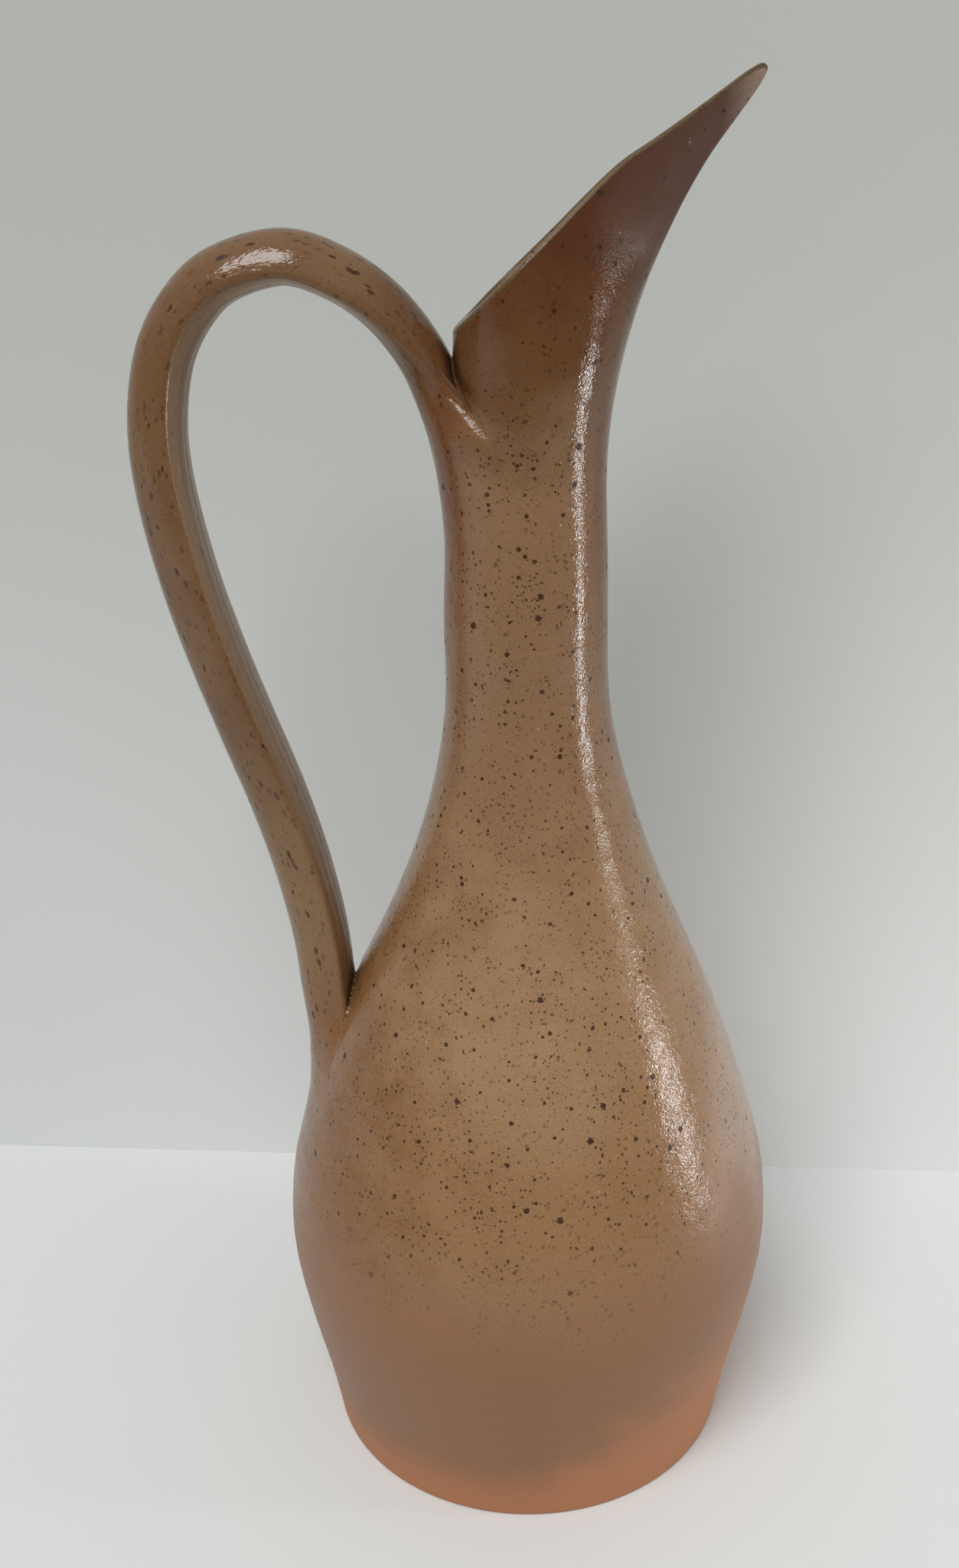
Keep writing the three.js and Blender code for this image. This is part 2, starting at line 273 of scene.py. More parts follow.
    def point(self, turn: Array, height: Array, grow: Array | float = 0.0) -> Array:
        """Point of an egg of half length a, half width b and pointing e at a turn t.

        It is x = centre + a * cos(t), y = b * sin(t) * (1 - e * cos(t)) over that product's
        greatest value. The bore is more pointed than the outside, so that the wall stays even.
        """
        centre, half_long, half_wide = self.oval(height, grow)
        egg = np.interp(height, self.levels, self.eggs) * np.where(np.less(grow, 0), self.bore_sharpening, 1)
        x = centre + half_long * np.cos(turn)
        y = half_wide * np.sin(turn) * (1 - egg * np.cos(turn)) / egg_width(egg)
        return np.stack([x, y, np.broadcast_to(height, x.shape)], axis=-1)

    def distance(self, points: Array) -> Array:
        """About how far points lie outside the egg of their height.

        With q the point's distance from the egg's centre, counted in half axes, it is (q - 1)
        times the egg's radius that way, over how much a level cut lengthens.
        """
        centre, half_long, half_wide = self.oval(points[..., 2])
        egg = np.interp(points[..., 2], self.levels, self.eggs)
        x = points[..., 0] - centre
        along = x / half_long
        wide = half_wide * (1 - egg * np.clip(along, -1.2, 1.2)) / egg_width(egg)
        share = np.hypot(along, points[..., 1] / wide)
        radius = np.hypot(x, points[..., 1]) / np.maximum(share, 1e-6)
        lean = np.interp(points[..., 2], self.levels, self.leans[1])
        return (share - 1) * radius / lean

    def outward(self, points: Array) -> Array:
        """Unit direction in which the distance grows fastest, from small steps each way."""
        reach = 0.05
        steps = np.eye(3) * reach
        slope = [self.distance(points + s) - self.distance(points - s) for s in steps]
        return unit(np.stack(slope, axis=-1))

    def settle(self, points: Array, depth: float) -> Array:
        """Move points square to the surface until they lie at a depth under it."""
        for _ in range(4):
            points = points - (self.distance(points) + depth)[..., None] * self.outward(points)
        return points

    def wall_at(self, height: Array) -> Array:
        """Thickness of the neck's wall, which thins evenly towards the lip."""
        share = np.clip((height - self.body_height) / self.neck_height, 0, 1)
        return between(self.wall, self.lip, share)

    def rim_height(self, x: Array) -> Array:
        """Height of the slanting rim over each place along x: a smooth curve through its knots."""
        low = self.body_height + self.neck_height - self.rim_fall
        back_x = -(self.neck_radius - self.back_drawn_in)
        tip_x = self.neck_radius + self.beak_reach - self.rim_tip_inset
        run, climb = (even_curve([knot[i] for knot in self.rim]) for i in (0, 1))
        fine = np.linspace(0, len(self.rim) - 1, 400)
        return np.interp(x, between(back_x, tip_x, run.at(fine)), low + self.rim_fall * climb.at(fine))

    def rim_over(self, turn: Array, inset: bool) -> Array:
        """Height at which a wall first climbs over the rim, which lies a little higher on the -Y side.

        Args:
            turn: angles round the neck.
            inset: True for the inner wall, False for the outer one.

        Returns:
            The height of the rim at each turn.
        """
        low = self.body_height + self.neck_height - self.rim_fall
        height = np.linspace(low - self.rim_search, self.levels[-1], self.rim_steps)[:, None]
        wall = self.point(turn[None, :], height, -self.wall_at(height) if inset else 0.0)
        under = self.rim_height(wall[..., 0]) + self.rim_skew * wall[..., 1] - height
        return crossing(height[:, 0], under)


@dataclass
class StrapForm:
    """The handle: a strap with a deep round outer face and a shallow inner one, along a loop."""

    jug: JugForm
    reach: float = 73.0
    half_width: float = 12.0
    leg_thickness: float = 16.1
    arch_thickness: float = 13.5
    wing_half_width: float = 20.0
    tail_height: float = 150.0
    top_joint_drop: float = 1.4
    wing_start: float = 0.8
    wing_full: float = 0.92
    samples: int = 900
    settled: float = 0.06
    grooves: tuple[float, ...] = (-6.8, -2.4, 2.1, 6.2)
    groove_width: float = 0.6
    groove_depth: float = 0.22

    line: Knots = (
        (-0.285, 0.001), (-0.188, 0.006), (-0.105, 0.041), (-0.014, 0.106), (0.072, 0.169),
        (0.178, 0.276), (0.282, 0.406), (0.384, 0.553), (0.488, 0.698), (0.597, 0.833),
        (0.715, 0.947), (0.813, 1), (0.912, 0.991), (0.99, 0.906), (1.033, 0.79), (1.061, 0.61),
        (1.051, 0.425), (1.022, 0.263), (0.975, 0.121), (0.922, 0.021), (0.843, -0.084),
        (0.752, -0.16), (0.69, -0.198),
    )
    thickness: Curve = Curve((
        (0, 0), (0.25, 0.02), (0.45, 0.2), (0.63, 0.25), (0.7, 0.55), (0.81, 1), (1, 1),
    ))
    width: Curve = Curve((
        (0, 0.15), (0.15, 0), (0.8, 0), (0.87, 0.1), (0.89, 0.5), (0.91, 0.95), (0.93, 1), (1, 1),
    ))
    bulge: Curve = Curve((
        (0, 0.14), (0.5, 0.13), (0.66, 0.3), (0.78, 0.22), (0.84, 0.44), (0.88, 0.91), (0.9, 1.16),
        (0.92, 1.42), (1, 1.5),
    ))

    def __post_init__(self) -> None:
        """Lay out the middle line at even steps of its length."""
        body = self.jug._body_radius(np.array([self.tail_height]))[0]
        top = self.jug.body_height + self.jug.neck_height - self.jug.rim_fall - self.top_joint_drop
        tail = np.array([-body, self.tail_height])
        chord = np.array([-(self.jug.neck_radius - self.jug.back_drawn_in), top]) - tail
        off = np.array([-chord[1], chord[0]]) / np.linalg.norm(chord)
        knots = np.array([tail + along * chord + out * self.reach * off for along, out in self.line])
        fine = np.linspace(0, len(knots) - 1, 6000)
        path = np.stack([even_curve(list(knots[:, i])).at(fine) for i in (0, 1)], axis=-1)
        length = np.r_[0, np.cumsum(np.linalg.norm(np.diff(path, axis=0), axis=1))]
        self.length = float(length[-1])
        self.shares = np.linspace(0, 1, self.samples)
        even = self.shares * self.length
        self.centres = np.stack([np.interp(even, length, path[:, i]) for i in (0, 1)], axis=-1)
        tangent = unit(np.gradient(self.centres, axis=0))
        self.normals = np.stack([-tangent[:, 1], tangent[:, 0]], axis=-1)

    def sizes(self, share: Array) -> tuple[Array, Array, Array, Array]:
        """Half width, thickness, depth of the inner bulge and roundness of the inner face."""
        thickness = between(self.leg_thickness, self.arch_thickness, self.thickness.at(share))
        half_width = between(self.half_width, self.wing_half_width, self.width.at(share))
        roundness = between(1.0, 0.5, rise(share, self.wing_start, self.wing_full))
        return half_width, thickness, thickness * self.bulge.at(share), roundness

    def section(self, share: Array, turn: Array) -> tuple[Array, Array]:
        """Offsets across and out of the loop for a turn round the section.

        The outer face is half an oval over the line between the two edges, and flattens to a
        squared sine on the wing. The inner face lies under it by the bulge times (1 - c * c) to
        the power of its roundness, with c the share of the half width, and is grooved along.
        """
        half_width, thickness, bulge, roundness = self.sizes(share)
        edge = bulge - thickness / 2
        outer = turn < np.pi
        wrap = rise(share, self.wing_start, self.wing_full)
        even = 1 - 2 * (turn - np.pi) / np.pi
        inner_c = -between(even, np.cos(turn - np.pi), wrap)
        c = np.where(outer, np.cos(turn), inner_c)
        crown = np.maximum(np.sin(turn), 0) ** (1 + wrap)
        out = edge + (np.maximum(thickness - bulge, 1) - self.settled) * crown
        under = edge - bulge * np.maximum(1 - inner_c * inner_c, 0) ** roundness
        groove = sum(np.exp(-((half_width * c - at) / self.groove_width) ** 2) for at in self.grooves)
        under = under + self.groove_depth * groove * (1 - wrap)
        return half_width * c, np.where(outer, out, under)

    def place(self, share: Array, across: Array, out: Array) -> Array:
        """Points at offsets across and out of the loop from the middle line."""
        centre = [np.interp(share, self.shares, self.centres[:, i]) for i in (0, 1)]
        normal = [np.interp(share, self.shares, self.normals[:, i]) for i in (0, 1)]
        return np.stack([centre[0] + normal[0] * out, across, centre[1] + normal[1] * out], axis=-1)

    def near(self, points: Array) -> tuple[Array, Array, Array]:
        """About how far points lie outside the strap, how far above its edges, and its way out.

        With g the squared share of the half width plus the share of the depth, to the power that
        the face has, the distance is (g - 1) over the length of g's slope. Past an end of the
        middle line, the way along it counts too.

        Args:
            points: rows of points.

        Returns:
            The distance, the offset out of the loop over the line between the edges, and the unit
            direction out of the strap's face.
        """
        flat = points[:, [0, 2]]
        gap = flat[:, None, :] - self.centres[None, :, :]
        k = np.argmin((gap * gap).sum(axis=2), axis=1)
        normal = self.normals[k]
        from_line = flat - self.centres[k]
        half_width, thickness, bulge, roundness = self.sizes(self.shares[k])
        over = (from_line * normal).sum(axis=1) - (bulge - thickness / 2)
        depth = np.where(over > 0, np.maximum(thickness - bulge, 1), bulge)
        power = np.where(over > 0, 2.0, 1 / roundness)
        across, down = points[:, 1] / half_width, np.abs(over) / depth
        level = 2 * across / half_width
        rising = np.sign(over) * power * down ** (power - 1) / depth
        slope = np.maximum(np.hypot(level, rising), 0.02)
        way_out = np.stack([rising * normal[:, 0], level, rising * normal[:, 1]], axis=-1)
        away = (across**2 + down**power - 1) / slope
        past = (from_line * normal[:, ::-1] * [1, -1]).sum(axis=1)
        past = np.where(k == 0, -past, np.where(k == self.samples - 1, past, 0))
        away = np.where(past > 0, np.hypot(np.maximum(away, 0), past), away)
        return away, over, way_out / slope[:, None]


@dataclass
class Fillet:
    """Clay smeared into the corner between the strap and the wall that it stands on."""

    strap: StrapForm
    soft_side: float
    soft_reach: float
    soft_start: float
    soft_run: float = 4.0
    sharp_reach: float = 0.5
    sharp_sink: float = 0.4
    cover: float = 0.15
    shade_reach: float = 5.0
    notch_foot: float = 150.0
    height: float = 9.0
    slip_under: float = 5.0
    fade_from: float = -8.5
    fade_to: float = -10.5
    passes: int = 14

    def swell(self, points: Array, normals: Array) -> tuple[Array, Array]:
        """Raise points of a wall towards the smooth union of wall and strap.

        Each point climbs along its normal until the smooth minimum of its travel and its distance
        to the strap is nought: m = mix(a, b, h) - k * h * (1 - h), h = 0.5 + 0.5 * (b - a) / k.
        The reach k grows with the sine of the angle between the two faces, so that the clay is
        thick in a corner and gone where the strap runs out level with the wall. Towards its
        greatest height the clay slips gently under the strap's face.

        Args:
            points: rows of points on the wall.
            normals: unit directions out of the wall.

        Returns:
            The raised points, and how deep each lies in the open crevice, 0 to 1.
        """
        first, over, _ = self.strap.near(points)
        # The crevice depth drives painted shade in the glaze, next to the joint on the notch side.
        crevice = 1 - rise(self.soft_side * over, self.soft_start - 4, self.soft_start)
        crevice = crevice * rise(first, self.shade_reach, 0.0)
        crevice = crevice * rise(points[:, 2], self.notch_foot, self.notch_foot + 12)
        limit = self.height * rise(first, self.fade_to, self.fade_from)
        travel = np.zeros(len(points))
        for _ in range(self.passes):
            away, over, way_out = self.strap.near(points + travel[:, None] * normals)
            soft = rise(self.soft_side * over, self.soft_start, self.soft_start + self.soft_run)
            cosine = np.clip((way_out * normals).sum(axis=1), 0, 1)
            clay = np.maximum(self.soft_reach * np.sqrt(1 - cosine**2), self.sharp_reach)
            reach = between(self.sharp_reach, clay, soft)
            end = rise(travel, self.height - self.slip_under, self.height - 0.5)
            cover = between(self.cover, -self.sharp_sink, end)
            away = away + between(self.sharp_sink, -cover, soft)
            h = np.clip(0.5 + 0.5 * (away - travel) / reach, 0, 1)
            least = between(away, travel, h) - reach * h * (1 - h)
            travel = np.clip(travel - 0.8 * least, 0, limit)
        return points + travel[:, None] * normals, crevice

    def raise_wall(self, grid: Array, span: tuple[float, float]) -> tuple[Array, Array]:
        """Raise the part of a wall that lies near the joint.

        Args:
            grid: rows by columns by three points of the outer wall.
            span: least and greatest height of the joint.

        Returns:
            The wall with its fillet, and how deep in the open crevice each point lies, 0 to 1.
        """
        sideways = np.roll(grid, -1, axis=1) - np.roll(grid, 1, axis=1)
        normal = unit(np.cross(sideways, np.gradient(grid, axis=0)))
        near = (grid[..., 0] < 0) & (grid[..., 2] > span[0]) & (grid[..., 2] < span[1])
        wall, crevice = grid.copy(), np.zeros(grid.shape[:2])
        wall[near], crevice[near] = self.swell(grid[near], normal[near])
        return wall, crevice


def grid_faces(rows: int, columns: int, looped: bool) -> Array:
    """Four-cornered faces over rows of points that close round; looped rows close end to end too."""
    row = np.arange(rows if looped else rows - 1)[:, None]
    column = np.arange(columns)[None, :]
    here, above = row * columns, (row + 1) % rows * columns
    after = (column + 1) % columns
    corners = [here + column, here + after, above + after, above + column]
    return np.stack(corners, axis=-1).reshape(-1, 4)


def drawn_in(edge: Array, inset: float, height: float, share: float = 1.0) -> Array:
    """Level ring: an edge drawn in towards the axis by an inset, then to a share of itself."""
    radius = np.linalg.norm(edge[:, :2], axis=1, keepdims=True)
    ring = edge * (1 - inset / radius) * share
    ring[:, 2] = height
    return ring


def bend(first: Array, corner: Array, last: Array, steps: int) -> Array:
    """Rows past the first one, round a corner: (1-t)^2 first + 2t(1-t) corner + t^2 last."""
    t = np.linspace(0, 1, steps + 1)[1:, None, None]
    return (1 - t) ** 2 * first + 2 * t * (1 - t) * corner + t * t * last


def put_in_scene(name: str, data: bpy.types.ID) -> bpy.types.Object:
    """New object that holds a mesh, a lamp or a camera, linked into the scene."""
    made = bpy.data.objects.new(name, data)
    bpy.context.scene.collection.objects.link(made)
    return made


def make_piece(
    name: str, grid: Array, looped: bool, marks: Array, flow: Array, sharp: float,
) -> bpy.types.Object:
    """Turn a grid of points into a closed mesh object.

    Args:
        name: name of the piece.
        grid: rows by columns by three, in millimetres, turning so that faces point out.
        looped: True where the last row joins the first; otherwise both ends close to a point.
        marks: rows by columns by three shares that the finish reads.
        flow: rows by columns by three, the place in which the finish spreads its specks.
        sharp: least angle in degrees between faces that stay sharp.

    Returns:
        The new object, linked into the scene.
    """
    rows, columns = grid.shape[:2]
    points, tags, places = (a.reshape(-1, 3) for a in (grid, marks, flow))
    faces = grid_faces(rows, columns, looped)
    loops, starts = faces.ravel(), np.arange(len(faces)) * 4
    if not looped:
        ring = np.arange(columns)
        first, last = len(points), len(points) + 1
        after = (ring + 1) % columns
        top = (rows - 1) * columns
        below = np.stack([np.full(columns, first), after, ring], axis=-1)
        above = np.stack([np.full(columns, last), top + ring, top + after], axis=-1)
        fans = np.concatenate([below, above]).ravel()
        starts = np.r_[starts, len(loops) + np.arange(2 * columns) * 3]
        loops = np.r_[loops, fans]
        ends = [np.stack([a[0].mean(axis=0), a[-1].mean(axis=0)]) for a in (grid, marks, flow)]
        points, tags, places = (np.concatenate(pair) for pair in zip((points, tags, places), ends))
    mesh = bpy.data.meshes.new(name)
    mesh.vertices.add(len(points))
    mesh.vertices.foreach_set("co", (points * METRE).ravel())
    mesh.loops.add(len(loops))
    mesh.loops.foreach_set("vertex_index", loops.astype(np.int32))
    mesh.polygons.add(len(starts))
    mesh.polygons.foreach_set("loop_start", starts.astype(np.int32))
    for label, value in ((FLOW, places * METRE), (MARKS, tags)):
        attribute = mesh.attributes.new(label, "FLOAT_VECTOR", "POINT")
        attribute.data.foreach_set("vector", value.ravel().astype(np.float32))
    mesh.update(calc_edges=True)
    mesh.validate()
    mesh.polygons.foreach_set("use_smooth", np.ones(len(mesh.polygons), bool))
    mesh.set_sharp_from_angle(angle=math.radians(sharp))
    return put_in_scene(name, mesh)


def settle_in_frame(piece: bpy.types.Object, finish: bpy.types.Material, slot: Slot, *nodes: str) -> None:
    """Give a piece its finish, let it ride with the jug and stand for its solids."""
    piece.data.materials.append(finish)
    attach(piece, BODY_OF_ALL)
    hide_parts(*nodes)


@dataclass
class TurnedBody:
    """The thrown body: foot, belly, shoulder and the bevelled top that the neck is luted to."""

    jug: JugForm
    strap: StrapForm
    foot_rounding: float = 1.2
    floor_thickness: float = 8.0
    floor_corner: float = 7.0
    outer_rows: int = 300
    inner_rows: int = 56
    corner_rows: int = 6
    ridge_height: float = 0.03
    ridge_pitch: float = 7.5
    ridge_end: float = 215.0
    tail_span: tuple[float, float] = (84.0, 178.0)

    def build(self) -> bpy.types.Object:
        """Sweep the profile up the outside, over the bevel and down the inside to the floor.

        Returns:
            The body as one closed mesh.
        """
        jug, turn = self.jug, self.jug.turns()[None, :]
        height = np.linspace(self.foot_rounding, jug.body_height, self.outer_rows)[:, None]
        ridge = np.sin(2 * np.pi * height / self.ridge_pitch + 1.5 * np.sin(height / 17 + turn))
        depth = self.ridge_height * rise(height, jug.body_height - 4, self.ridge_end)
        fillet = Fillet(self.strap, soft_side=1, soft_reach=8.0, soft_start=-1.0, soft_run=9.0)
        outside, crevice = fillet.raise_wall(jug.point(turn, height, depth * (ridge - 1)), self.tail_span)
        low = self.floor_thickness + self.floor_corner
        inside = jug.point(turn, np.linspace(jug.body_height, low, self.inner_rows)[:, None], -jug.wall)
        inside[0, :, 2] += jug.wall
        inside[1, :, 2] = np.maximum(inside[1, :, 2], inside[0, :, 2] - jug.wall)
        foot = self._foot(outside[0])
        grid = np.concatenate([foot, outside, inside, self._floor(inside[-1])])
        marks = np.zeros_like(grid)
        marks[len(foot):len(foot) + len(outside), :, 0] = crevice
        return make_piece("body", grid, False, marks, grid, 50.0)

    def _foot(self, edge: Array) -> Array:
        """Rows from near the middle of the base out to its rounded edge, a quarter of a circle."""
        radius = self.foot_rounding
        rows = [drawn_in(edge, radius, 0.0, share) for share in (0.04, 0.3, 0.6, 0.85, 1)]
        for turn in np.linspace(0, np.pi / 2, self.corner_rows + 1)[1:-1]:
            rows.append(drawn_in(edge, radius * (1 - np.sin(turn)), radius * (1 - np.cos(turn))))
        return np.stack(rows)

    def _floor(self, edge: Array) -> Array:
        """Rows from the inner wall round a hollow corner to the middle of the floor inside."""
        radius, low, rows = self.floor_corner, self.floor_thickness, []
        for turn in np.linspace(0, np.pi / 2, self.corner_rows + 1)[1:]:
            rows.append(drawn_in(edge, radius * (1 - np.cos(turn)), low + radius * (1 - np.sin(turn))))
        rows += [drawn_in(edge, radius, low, share) for share in (0.75, 0.45, 0.15, 0.03)]
        return np.stack(rows)


@dataclass
class BeakedNeck:
    """The thrown neck, drawn out into a beak and cut on a slant."""

    jug: JugForm
    strap: StrapForm
    overlap: float = 0.1
    rounding: float = 1.2
    rim_band: float = 2.4
    outer_rows: int = 300
    inner_rows: int = 46
    corner_rows: int = 5
    lip_rows: int = 4
    olive_depth: float = 45.0
    top_span: tuple[float, float] = (262.0, 345.0)

    def build(self) -> bpy.types.Object:
        """Sweep the wall up the outside, over the rounded lip and down the bore.

        Returns:
            The neck as one closed mesh, its rows closed from bore to outside by the bevel.
        """
        jug, turn = self.jug, self.jug.turns()
        bottom = jug.body_height - self.overlap
        rim_out, rim_in = (jug.rim_over(turn, inset) for inset in (False, True))
        share = np.linspace(0, 1, self.outer_rows)[:, None]
        height_out = bottom + (rim_out - self.rounding - bottom) * share
        fillet = Fillet(
            self.strap, soft_side=-1, soft_reach=9.0, soft_start=0.4, soft_run=2.2, notch_foot=315.0,
        )
        outside, crevice = fillet.raise_wall(jug.point(turn[None, :], height_out), self.top_span)
        lip = self._lip(turn, rim_out, rim_in)
        share = np.linspace(0, 1, self.inner_rows)[:, None]
        height = between(rim_in - self.rounding, bottom + jug.wall, share)
        inside = jug.point(turn[None, :], height, -jug.wall_at(height))
        grid = np.concatenate([outside, lip, inside])
        marks = np.zeros_like(grid)
        top = len(outside) + len(lip)
        marks[:len(outside), :, 0] = crevice
        marks[:len(outside), :, 1] = rise(rim_out - height_out, self.rim_band, 0.4)
        marks[len(outside):top, :, 1] = 1
        # Painted light: the bore takes a lighter olive near the rim, fading with depth, that lifts the shade
        # inside it.
        marks[top:, :, 1] = 2 * rise(rim_in - height, self.olive_depth, 0.0)
        return make_piece("neck", grid, True, marks, grid, 50.0)

    def _lip(self, turn: Array, rim_out: Array, rim_in: Array) -> Array:
        """Rows over the cut face, with its two corners bent.

        Args:
            turn: angles round the neck.
            rim_out: height of the rim at the outer wall.
            rim_in: height of the rim at the inner wall.

        Returns:
            The rows of points from the outer wall to the inner one.
        """
        jug, deep = self.jug, rim_in - self.rounding
        start, outer = jug.point(turn, rim_out - self.rounding), jug.point(turn, rim_out)
        inner, end = (jug.point(turn, height, -jug.wall_at(height)) for height in (rim_in, deep))
        across = inner - outer
        share = np.minimum(self.rounding / np.linalg.norm(across, axis=1, keepdims=True), 0.45)
        first, last = outer + across * share, inner - across * share
        level = between(first, last, np.linspace(0, 1, self.lip_rows + 1)[1:, None, None])
        outer_bend = bend(start, outer, first, self.corner_rows)
        return np.concatenate([outer_bend, level, bend(last, inner, end, self.corner_rows)[:-1]])


@dataclass
class StrapHandle:
    """The pulled handle, cut to the walls that it is luted to."""

    jug: JugForm
    strap: StrapForm
    rows: int = 430
    columns: int = 112
    sink: float = 1.5
    cap_rows: int = 7
    middle: float = 0.5
    search_steps: int = 1600
    edge_passes: int = 4
    crease_softness: float = 0.1
    shade_reach: float = 6.0
    dash_stretch: float = 0.45

    def ends(self, turn: Array) -> tuple[Array, Array]:
        """Shares of the strap's length at which each line along it dives under the two walls.

        Args:
            turn: angles round the section.

        Returns:
            The share at the tail and the share at the neck.
        """
        found = []
        for goal in (0.0, 1.0):
            share = np.linspace(self.middle, goal, self.search_steps)[:, None]
            skin = self.strap.place(share, *self.strap.section(share, turn[None, :]))
            found.append(crossing(share[:, 0], self.jug.distance(skin) + self.sink))
        return found[0], found[1]

    def build(self) -> bpy.types.Object:
        """Carry the section along the loop from wall to wall and close both ends under the walls.

        Returns:
            The handle as one closed mesh.
        """
        turn = full_turn(self.columns)
        tail, top = self.ends(turn)
        share = between(tail[None, :], top[None, :], np.linspace(0, 1, self.rows)[:, None])
        across, out = self.strap.section(share, np.broadcast_to(turn, share.shape))
        soft = between(1.0, self.crease_softness, rise(share, self.strap.wing_start, self.strap.wing_full))
        for _ in range(self.edge_passes):
            across, out = (
                between(a, (np.roll(a, 1, axis=1) + 2 * a + np.roll(a, -1, axis=1)) / 4, soft)
                for a in (across, out)
            )
        grid = self.strap.place(share, across, out)
        notch = np.where(share > self.middle, np.sin(turn), -np.sin(turn))
        crevice = rise(self.jug.distance(grid), self.shade_reach, 0.0) * rise(notch, -0.1, 0.3)
        calm = np.broadcast_to(rise(np.sin(turn), 0.02, -0.12), share.shape)
        calm = calm * (1 - rise(share, self.strap.wing_start, self.strap.wing_full))
        marks = np.stack([crevice, np.zeros_like(share), calm], axis=-1)
        flow = np.stack([across, out, share * self.strap.length * self.dash_stretch], axis=-1)
        caps = [self._cap(grid[0]), self._cap(grid[-1])]
        grid = np.concatenate([caps[0][::-1], grid, caps[1]])
        marks, flow = (
            np.concatenate([a[:1].repeat(self.cap_rows, 0), a, a[-1:].repeat(self.cap_rows, 0)])
            for a in (marks, flow)
        )
        return make_piece("handle", grid, False, marks, flow, 60.0)

    def _cap(self, edge: Array) -> Array:
        """Rings that shrink from an end's edge to its middle, laid at one depth under the wall."""
        centre = edge.mean(axis=0)
        shares = np.linspace(1, 0, self.cap_rows + 2)[1:-1]
        rings = np.stack([between(centre, edge, share) for share in shares])
        return self.jug.settle(rings, self.sink)


@dataclass
class JointSlip:
    """Fired slip squeezed out of a luted joint, as a bead along the line where two pieces meet."""

    jug: JugForm
    strap: StrapForm
    bead: float = 0.45
    hidden_depth: float = 1.6
    top_notch: float = 0.8
    around: int = 10
    points: int = 260

    def handle_bead(self, name: str, at_top: bool) -> bpy.types.Object:
        """Bead where the handle enters a wall: in the open notch it shows, elsewhere it is buried.

        Args:
            name: name of the piece.
            at_top: True for the joint at the neck, False for the one at the belly.

        Returns:
            The bead as a closed ring.
        """
        turn = full_turn(self.points)
        share = StrapHandle(self.jug, self.strap, sink=0.1).ends(turn)[1 if at_top else 0]
        line = self.strap.place(share, *self.strap.section(share, turn))
        open_side = np.sin(turn) - self.top_notch if at_top else -np.sin(turn)
        # The bead shows only in the open notch, where its dark slip also stands in for the notch's shade.
        depth = self.hidden_depth * rise(open_side, 0.15, -0.2)
        line = self.jug.settle(line, 0.0) - depth[:, None] * self.jug.outward(line)
        return self._ring(name, line, self.jug.outward(line), self.bead, self.bead)

    def neck_ring(self) -> bpy.types.Object:
        """Ring between body and neck: just under the outside, a little proud in the bore."""
        turn = full_turn(self.points)
        height, half = np.full_like(turn, self.jug.body_height), self.jug.wall / 2
        middle = -half - 0.2
        line = self.jug.point(turn, height, middle)
        tilt = unit(line - self.jug.point(turn, height, middle - 1) + np.array([0, 0, -1.0]))
        line[:, 2] += half
        return self._ring("neck_joint_slip", line, tilt, half * math.sqrt(2), 0.4)

    def _ring(self, name: str, line: Array, out: Array, tall: float, wide: float) -> bpy.types.Object:
        """Carry an oval round a closed line: line + tall * cos * out + wide * sin * sideways."""
        sideways = unit(np.cross(np.roll(line, -1, axis=0) - np.roll(line, 1, axis=0), out))
        bent = full_turn(self.around)[None, :, None]
        grid = line[:, None, :] + tall * np.cos(bent) * out[:, None, :]
        grid = grid + wide * np.sin(bent) * sideways[:, None, :]
        return make_piece(name, grid, True, np.zeros_like(grid), grid, 180.0)


Number = "Value | float | tuple"


@dataclass(frozen=True)
class Value:
    """A socket of a shader that Python's operators work on, one Math node each."""

    graph: "Graph"
    socket: Any

    def __add__(self, other: Number) -> "Value":
        """Sum."""
        return self.graph.math("ADD", self, other)

    __radd__ = __add__

    def __sub__(self, other: Number) -> "Value":
        """Difference."""
        return self.graph.math("SUBTRACT", self, other)

    def __rsub__(self, other: Number) -> "Value":
        """Difference the other way round."""
        return self.graph.math("SUBTRACT", other, self)

    def __mul__(self, other: Number) -> "Value":
        """Product."""
        return self.graph.math("MULTIPLY", self, other)

    __rmul__ = __mul__

    def __gt__(self, other: Number) -> "Value":
        """1 where the value is the greater one, else 0."""
        return self.graph.math("GREATER_THAN", self, other)

    def ramp(self, low: Number, high: Number) -> "Value":
        """Smooth step: 0 at low and 1 at high; high may be the smaller one."""
        settings = {"interpolation_type": "SMOOTHSTEP"}
        sockets = {"Value": self, "From Min": low, "From Max": high}
        return self.graph.node("ShaderNodeMapRange", settings, sockets)[0]


